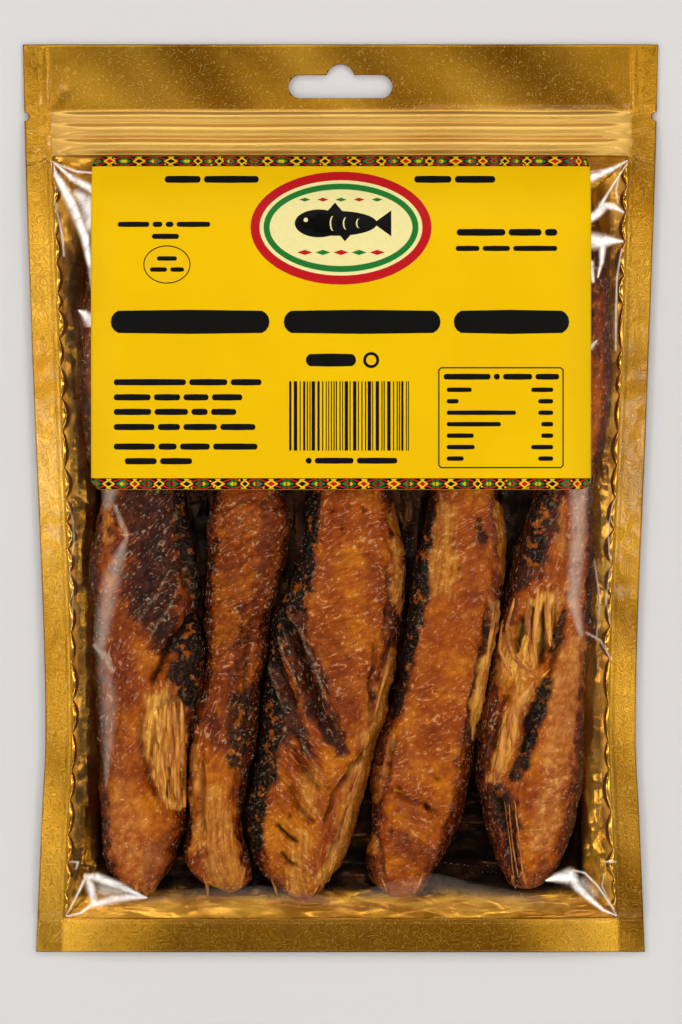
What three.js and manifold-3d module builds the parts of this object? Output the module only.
// A zip pouch of smoked catfish fillets, lying on its back with the clear side up.
// Units are millimetres. X runs across the pack, Y towards the header with its hang slot, and Z up from
// the table. The pouch is one closed solid out to its film, which lies over five long fillets, and the
// label is a thin sheet on it.
import * as THREE from "three";
import { mergeVertices } from "three/addons/utils/BufferGeometryUtils.js";
import Module from "manifold-3d";

const wasm = await Module();
wasm.setup();
const { smoothstep, clamp, lerp } = THREE.MathUtils;

// Driving dimensions
const PACK_HEIGHT = 257; // foot edge to header edge
const SIDE_SEAL = 7.4; // width of the sealed strip down each side
const FOOT_SEAL = 9.6; // height of the sealed strip across the foot
const FOIL = 0.6; // the two sealed films together, thicker than the real 0.25 mm so that it is a sound solid
const CREST = 12.6; // how far the film rises above the seam where it lies on a fillet
const VALLEY = 0.7; // share of that rise which is left between two fillets
const SEAM_LIFT = 4; // height of the side seams above the table
const BACK_SLOPE = 16; // how far inside the seams the back comes down flat onto the table
const LABEL_GAP = 0.5; // between the film and the label
const LABEL_THICKNESS = 0.4;

// Heights up the pack, measured from its middle
const FOOT = -PACK_HEIGHT / 2;
const HEADER = PACK_HEIGHT / 2;
const POCKET_FOOT = FOOT + FOOT_SEAL;
const ZIP_FOOT = 96.8; // lower edge of the zip, where the pocket ends
const ZIP_HEAD = 109; // upper edge of the zip
const ZIP_MIDDLE = 102.6; // between the zip's two rolls

// Half the pack's width at heights up the pack: the filled pocket pulls the sides in above the foot
const OUTLINE = [
  { y: FOOT, half: 86.2 },
  { y: -90, half: 84.5 },
  { y: -68, half: 83.5 },
  { y: -35, half: 84.1 },
  { y: 20, half: 86.4 },
  { y: ZIP_FOOT, half: 89.2 },
  { y: HEADER, half: 90 },
];

// The five fillets, left to right: each one's middle line and half width, from its tip at the foot to
// its hidden top end
const FILLETS = [
  [
    { y: -112.6, x: -53.2, half: 1.4 },
    { y: -99.3, x: -55.9, half: 10.6 },
    { y: -85.2, x: -55.6, half: 12.4 },
    { y: -51.3, x: -54, half: 15.5 },
    { y: -17.5, x: -55.6, half: 15.1 },
    { y: 40, x: -57.5, half: 13.5 },
    { y: 92, x: -57, half: 4 },
  ],
  [
    { y: -111.4, x: -29.8, half: 1.5 },
    { y: -99.3, x: -35.1, half: 8.6 },
    { y: -80, x: -35.4, half: 7.7 },
    { y: -57, x: -29.6, half: 8.3 },
    { y: -9, x: -25.8, half: 11.6 },
    { y: 40, x: -26, half: 12 },
    { y: 91, x: -25, half: 4 },
  ],
  [
    { y: -114, x: -11.1, half: 1.5 },
    { y: -96.5, x: -11.4, half: 14.1 },
    { y: -80.7, x: -8.9, half: 16.1 },
    { y: -47.1, x: -2.3, half: 18.2 },
    { y: -11.8, x: 3.5, half: 14.4 },
    { y: 40, x: 5, half: 14 },
    { y: 93, x: 6, half: 4 },
  ],
  [
    { y: -113.1, x: 17.3, half: 2 },
    { y: -99.3, x: 18.2, half: 10.7 },
    { y: -72.5, x: 25, half: 13 },
    { y: -42.9, x: 29.5, half: 13 },
    { y: -14.7, x: 33.7, half: 13 },
    { y: 40, x: 36, half: 12 },
    { y: 90, x: 36, half: 4 },
  ],
  [
    { y: -109.2, x: 54, half: 2 },
    { y: -99.3, x: 53, half: 10.3 },
    { y: -73.9, x: 54.2, half: 15.4 },
    { y: -42.9, x: 57.1, half: 13.8 },
    { y: -14.7, x: 60.7, half: 11.2 },
    { y: 40, x: 62.5, half: 12.5 },
    { y: 92, x: 62, half: 4 },
  ],
];

const HANG_SLOT = { y: 116.5, halfLength: 14.7, radius: 3.3, bumpHalf: 3.9, bumpRise: 3 };
const TEAR_NOTCH = { y: 108, radius: 1.25 };
const LABEL = { left: -70.1, right: 70.4, foot: 2.3, head: 96.7, corner: 3.4 };

// The grids that are trimmed to the pack's outline run past it by these amounts
const SPARE_SHARE = 1.02; // of half the width
const SPARE_END = 2; // past the foot and the header
const BELOW = -10;
const ABOVE = 40;

// A smooth cubic through one column of a table of heights, level past both ends.
function valueAt(rows, column, y) {
  const last = rows.length - 1;
  if (y <= rows[0].y) return rows[0][column];
  if (y >= rows[last].y) return rows[last][column];
  const i = rows.findIndex((row) => row.y > y) - 1;
  const slope = (k) => {
    const a = rows[Math.max(k - 1, 0)];
    const b = rows[Math.min(k + 1, last)];
    return (b[column] - a[column]) / (b.y - a.y);
  };
  const step = rows[i + 1].y - rows[i].y;
  const t = (y - rows[i].y) / step;
  const from = rows[i][column] * (2 * t ** 3 - 3 * t ** 2 + 1);
  const leaving = slope(i) * step * (t ** 3 - 2 * t ** 2 + t);
  const to = rows[i + 1][column] * (3 * t ** 2 - 2 * t ** 3);
  const arriving = slope(i + 1) * step * (t ** 3 - t ** 2);
  return from + leaving + to + arriving;
}

const halfWidth = (y) => valueAt(OUTLINE, "half", y);

// Height of the sealed seam's middle: the foot and the header droop towards the table.
function seam(y) {
  const footDroop = 1.8 * (1 - smoothstep(y, FOOT, FOOT + 30));
  const headerDroop = 2.9 * smoothstep(y, ZIP_FOOT - 10, HEADER);
  return SEAM_LIFT - footDroop - headerDroop;
}

// From 0 at a seal to 1 once the film has left it by the given reach.
function rise(distance, reach) {
  const t = clamp(distance / reach, 0, 1);
  return 1 - (1 - t) ** 2;
}

// Share of the film's full rise that its distance from the three seals and the zip allows.
function tent(x, y) {
  const side = rise(halfWidth(y) - SIDE_SEAL - Math.abs(x), 19);
  return side * rise(y - POCKET_FOOT, 18) * rise(ZIP_FOOT - y, 24);
}

// 1 along a fillet's back, falling softly past its sides: the tight film rounds off the valley between
// two fillets.
function ridge(x, y) {
  const backs = FILLETS.map((rows) => {
    const beyond = Math.max(rows[0].y - y, y - rows[rows.length - 1].y, 0);
    const u = (x - valueAt(rows, "x", y)) / (valueAt(rows, "half", y) + 1);
    return (1 - smoothstep(beyond, 0, 5)) / (1 + u ** 4);
  });
  const together = backs.reduce((sum, back) => sum + back ** 5, 0) ** 0.2;
  return Math.min(together, 1);
}

// Upper side of the label: it lies on the fillets' backs and bridges the valleys.
const labelBed = (x, y) => seam(y) + FOIL / 2 + CREST * tent(x, y);

// How far the film has come away from the label, from 0 under it to 1 at the given distance outside.
function labelFree(x, y) {
  const outside = Math.max(LABEL.left - x, x - LABEL.right, LABEL.foot - y, 0);
  return smoothstep(outside, 1, 8);
}

// The zip's two rolls, which are crushed flat between the side seals.
function zipRoll(x, y) {
  const between = 1 - smoothstep(Math.abs(x), halfWidth(y) - SIDE_SEAL - 6, halfWidth(y) - 2);
  const lower = (y - ZIP_FOOT) / (ZIP_MIDDLE - ZIP_FOOT);
  const upper = (y - ZIP_MIDDLE) / (ZIP_HEAD - ZIP_MIDDLE);
  const arch = (t) => (t > 0 && t < 1 ? Math.sin(Math.PI * t) ** 0.7 : 0);
  return between * (1.3 * arch(lower) + 1.1 * arch(upper));
}

// Upper side of the pouch: the clear film over the fillets, the seals, the zip and the header.
function filmTop(x, y) {
  const share = VALLEY + (1 - VALLEY) * ridge(x, y);
  const draped = CREST * tent(x, y) * lerp(1, share, labelFree(x, y));
  return seam(y) + FOIL / 2 + draped + zipRoll(x, y);
}

// Under side of the pouch: the foil back, flat on the table inside the seams.
function foilBack(x, y) {
  const inside = Math.min(halfWidth(y) - SIDE_SEAL - Math.abs(x), y - POCKET_FOOT, ZIP_FOOT - y);
  return (seam(y) - FOIL / 2) * (1 - smoothstep(inside, 0, BACK_SLOPE));
}

const evenly = (from, to, count) =>
  Array.from({ length: count + 1 }, (_, i) => from + ((to - from) * i) / count);

// A manifold solid from a closed three.js geometry.
function solidOf(geometry) {
  const bare = geometry.clone();
  bare.deleteAttribute("normal");
  bare.deleteAttribute("uv");
  bare.clearGroups();
  const merged = mergeVertices(bare, 1e-4);
  const vertProperties = new Float32Array(merged.attributes.position.array);
  const triVerts = new Uint32Array(merged.index.array);
  return new wasm.Manifold(new wasm.Mesh({ numProp: 3, vertProperties, triVerts }));
}

// A three.js geometry from a manifold solid.
function geometryOf(solid) {
  const mesh = solid.getMesh();
  const geometry = new THREE.BufferGeometry();
  geometry.setAttribute("position", new THREE.BufferAttribute(mesh.vertProperties, 3));
  geometry.setIndex(new THREE.BufferAttribute(mesh.triVerts, 1));
  geometry.computeVertexNormals();
  return geometry;
}

// A block on a grid of columns and rows, with its upper and its lower side each set to a height.
// place gives the x of a column at a row's height.
function block(columns, rows, place, upper, lower) {
  const geometry = new THREE.BoxGeometry(2, 2, 2, columns.length - 1, rows.length - 1, 1);
  const position = geometry.attributes.position;
  for (let i = 0; i < position.count; i++) {
    const column = Math.round(((position.getX(i) + 1) / 2) * (columns.length - 1));
    const row = Math.round(((position.getY(i) + 1) / 2) * (rows.length - 1));
    const y = rows[row];
    const x = place(columns[column], y);
    const side = position.getZ(i) > 0 ? upper : lower;
    position.setXYZ(i, x, y, side(x, y));
  }
  return solidOf(geometry);
}

// A prism of an outline that runs past both sides of the pack.
function prism(shape) {
  const depth = 60;
  const geometry = new THREE.ExtrudeGeometry(shape, { depth, bevelEnabled: false, curveSegments: 8 });
  return solidOf(geometry.translate(0, 0, -depth / 2));
}

// The pack's outline, with the hang slot cut through the header.
function packOutline() {
  const heights = evenly(FOOT, HEADER, 34);
  const right = heights.map((y) => new THREE.Vector2(halfWidth(y), y));
  const left = heights.map((y) => new THREE.Vector2(-halfWidth(y), y)).reverse();
  const outline = new THREE.Shape([...right, ...left]);
  const { y, halfLength, radius, bumpHalf, bumpRise } = HANG_SLOT;
  const end = halfLength - radius;
  const bumpRadius = (bumpHalf ** 2 + bumpRise ** 2) / (2 * bumpRise);
  const bumpCentre = y + radius + bumpRise - bumpRadius;
  const bumpAngle = Math.atan2(y + radius - bumpCentre, bumpHalf);
  const slot = new THREE.Path();
  slot.absarc(end, y, radius, -Math.PI / 2, Math.PI / 2, false);
  slot.absarc(0, bumpCentre, bumpRadius, bumpAngle, Math.PI - bumpAngle, false);
  slot.absarc(-end, y, radius, Math.PI / 2, (3 * Math.PI) / 2, false);
  slot.closePath();
  outline.holes.push(slot);
  return outline;
}

// The half-round tear notch in one side edge of the header.
function tearNotch(side) {
  const { y, radius } = TEAR_NOTCH;
  const notch = new THREE.Shape();
  notch.absarc(side * halfWidth(y), y, radius, 0, 2 * Math.PI, false);
  return prism(notch);
}

// The closed pouch: film side and back side have their own grids, and meet inside the outline.
function pouch() {
  const pocket = 1 - SIDE_SEAL / halfWidth(0);
  const flat = pocket - BACK_SLOPE / halfWidth(0);
  const headerRows = [(ZIP_HEAD + HEADER) / 2, HEADER + SPARE_END];
  const frontColumns = [-SPARE_SHARE, ...evenly(-pocket, pocket, 44), SPARE_SHARE];
  const frontRows = [
    FOOT - SPARE_END,
    ...evenly(POCKET_FOOT, ZIP_FOOT, 56),
    ...evenly(ZIP_FOOT, ZIP_MIDDLE, 4).slice(1),
    ...evenly(ZIP_MIDDLE, ZIP_HEAD, 4).slice(1),
    ...headerRows,
  ];
  const backColumns = [-SPARE_SHARE, ...evenly(-pocket, -flat, 3), ...evenly(flat, pocket, 3), SPARE_SHARE];
  const backRows = [
    FOOT - SPARE_END,
    ...evenly(POCKET_FOOT, POCKET_FOOT + BACK_SLOPE, 3),
    ...evenly(-80, 70, 5),
    ...evenly(ZIP_FOOT - BACK_SLOPE, ZIP_FOOT, 3),
    ZIP_HEAD,
    ...headerRows,
  ];
  const acrossPack = (share, y) => share * halfWidth(y);
  const front = block(frontColumns, frontRows, acrossPack, filmTop, () => BELOW);
  const back = block(backColumns, backRows, acrossPack, () => ABOVE, foilBack);
  const trimmed = front.intersect(back).intersect(prism(packOutline()));
  return trimmed.subtract(tearNotch(-1)).subtract(tearNotch(1));
}

// The label: a thin sheet that follows its bed, with rounded corners.
function label() {
  const { left, right, foot, head, corner } = LABEL;
  const straight = (x) => x;
  const upper = (x, y) => labelBed(x, y) + LABEL_GAP + LABEL_THICKNESS;
  const lower = (x, y) => labelBed(x, y) + LABEL_GAP;
  const columns = evenly(left - 1, right + 1, 26);
  const rows = evenly(foot - 1, head + 1, 18);
  const sheet = block(columns, rows, straight, upper, lower);
  const outline = new THREE.Shape();
  outline.absarc(right - corner, foot + corner, corner, -Math.PI / 2, 0, false);
  outline.absarc(right - corner, head - corner, corner, 0, Math.PI / 2, false);
  outline.absarc(left + corner, head - corner, corner, Math.PI / 2, Math.PI, false);
  outline.absarc(left + corner, foot + corner, corner, Math.PI, (3 * Math.PI) / 2, false);
  return sheet.intersect(prism(outline));
}

// A named sub-part of the pack.
function part(name, solid, finish) {
  const mesh = new THREE.Mesh(geometryOf(solid), new THREE.MeshStandardMaterial(finish));
  mesh.name = name;
  return mesh;
}

const pack = new THREE.Group();
pack.add(part("pouch", pouch(), { color: 0xc98f1e, roughness: 0.3, metalness: 0.9 }));
pack.add(part("label", label(), { color: 0xf4c400, roughness: 0.45, metalness: 0 }));

export default pack;
